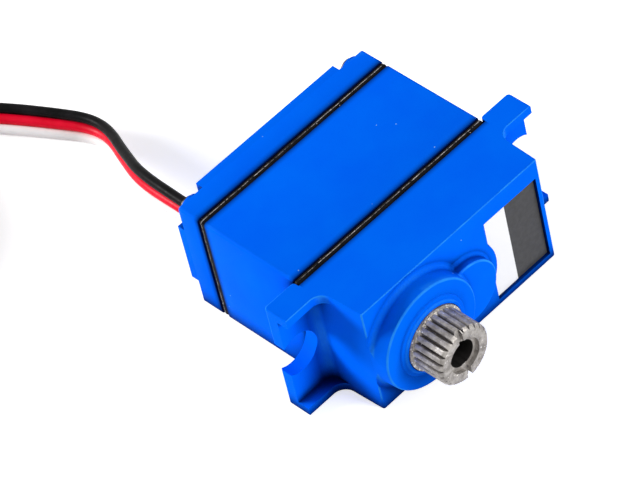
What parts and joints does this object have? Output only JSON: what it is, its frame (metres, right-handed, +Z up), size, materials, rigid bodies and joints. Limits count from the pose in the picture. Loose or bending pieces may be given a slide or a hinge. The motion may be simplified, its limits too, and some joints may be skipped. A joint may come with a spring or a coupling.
{
  "type": "servo motor",
  "caption": "Small sealed hobby servo: moulded case in three shells with two rubber seals, slotted ears, splined metal output shaft, gear train, motor, potentiometer and three-wire lead.",
  "frame": {"origin": "centre of the servo's box at the side face it lies on, without the lead", "axes": "+X along the case towards the label end, -Y along the output shaft towards its splined end, +Z up across the case"},
  "size_m": [0.0634, 0.0809, 0.012],
  "materials": {
    "blue_plastic": "satin moulded plastic",
    "black_rubber": "soft, slightly dusty",
    "label_print": "bare printed film, pale and dark bands",
    "screw_steel": "blackened steel",
    "bronze": "sintered",
    "bright_steel": "ground",
    "shaft_metal": "dark sintered metal, worn",
    "gear_brass": "hobbed",
    "gear_steel": "hobbed",
    "white_plastic": "moulded",
    "magnet": "sintered ferrite",
    "core_steel": "stacked laminations",
    "copper": "drawn",
    "black_plastic": "moulded",
    "carbon_track": "printed film",
    "green_board": "solder resist",
    "ceramic": "chip parts",
    "lead_black": "soft silicone wire, black, red and white",
    "gold_plate": "plated"
  },
  "bodies": {
    "case": {"bottom_cover": "blue_plastic", "lower_seal": "black_rubber", "middle_case": "blue_plastic", "upper_seal": "black_rubber", "top_case": "blue_plastic", "label": "label_print", "case_screws": "screw_steel", "output_bush": "bronze", "shaft_seal_ring": "black_rubber", "lower_bush": "bronze", "idler_pin": "bright_steel", "motor_can": "bright_steel", "motor_end_cap": "white_plastic", "motor_magnets": "magnet", "motor_brushes": "copper", "motor_terminals": "copper", "potentiometer_cup": "black_plastic", "potentiometer_base": "black_plastic", "resistive_track": "carbon_track", "potentiometer_pins": "copper", "circuit_board": "green_board", "control_chip": "black_plastic", "board_components": "ceramic", "lead_grommet": "black_rubber", "servo_lead": "lead_black", "lead_coil": "lead_black", "plug_housing": "black_plastic", "plug_contacts": "gold_plate"},
    "output": {"output_shaft": "shaft_metal", "output_gear": "gear_brass", "potentiometer_shaft": "bright_steel", "potentiometer_wiper": "white_plastic", "shaft_spacer": "bronze"},
    "third_gear": {"third_wheel": "gear_brass", "third_pinion": "gear_steel"},
    "second_gear": {"second_wheel": "gear_brass", "second_pinion": "gear_steel"},
    "first_gear": {"first_wheel": "gear_brass", "first_pinion": "gear_steel"},
    "rotor": {"motor_pinion": "gear_brass", "motor_shaft": "bright_steel", "armature_core": "core_steel", "armature_windings": "copper", "commutator": "copper"}
  },
  "joints": [
    {"name": "output_turn", "type": "hinge", "parent": "case", "child": "output", "pos_m": [-0.00542, 0, 0.006], "axis": [0, -1, 0], "range_deg": [-90, 90]},
    {"name": "third_gear_turn", "type": "hinge", "parent": "case", "child": "third_gear", "pos_m": [0.00005, 0, 0.0054], "axis": [0, -1, 0], "range_deg": [-240.01, 240.01]},
    {"name": "second_gear_turn", "type": "hinge", "parent": "case", "child": "second_gear", "pos_m": [-0.00542, 0, 0.006], "axis": [0, -1, 0], "range_deg": [-514.3, 514.3]},
    {"name": "first_gear_turn", "type": "hinge", "parent": "case", "child": "first_gear", "pos_m": [0.00005, 0, 0.0054], "axis": [0, -1, 0], "range_deg": [-1748.58, 1748.58]},
    {"name": "rotor_turn", "type": "hinge", "parent": "case", "child": "rotor", "pos_m": [0.00514, 0, 0.006], "axis": [0, -1, 0], "range_deg": [-6217.15, 6217.15]}
  ],
  "couplings": [
    {"joint": "third_gear_turn", "follows": "output_turn", "ratio": -2.6667},
    {"joint": "second_gear_turn", "follows": "output_turn", "ratio": 5.7143},
    {"joint": "first_gear_turn", "follows": "output_turn", "ratio": -19.429},
    {"joint": "rotor_turn", "follows": "output_turn", "ratio": 69.079}
  ]
}
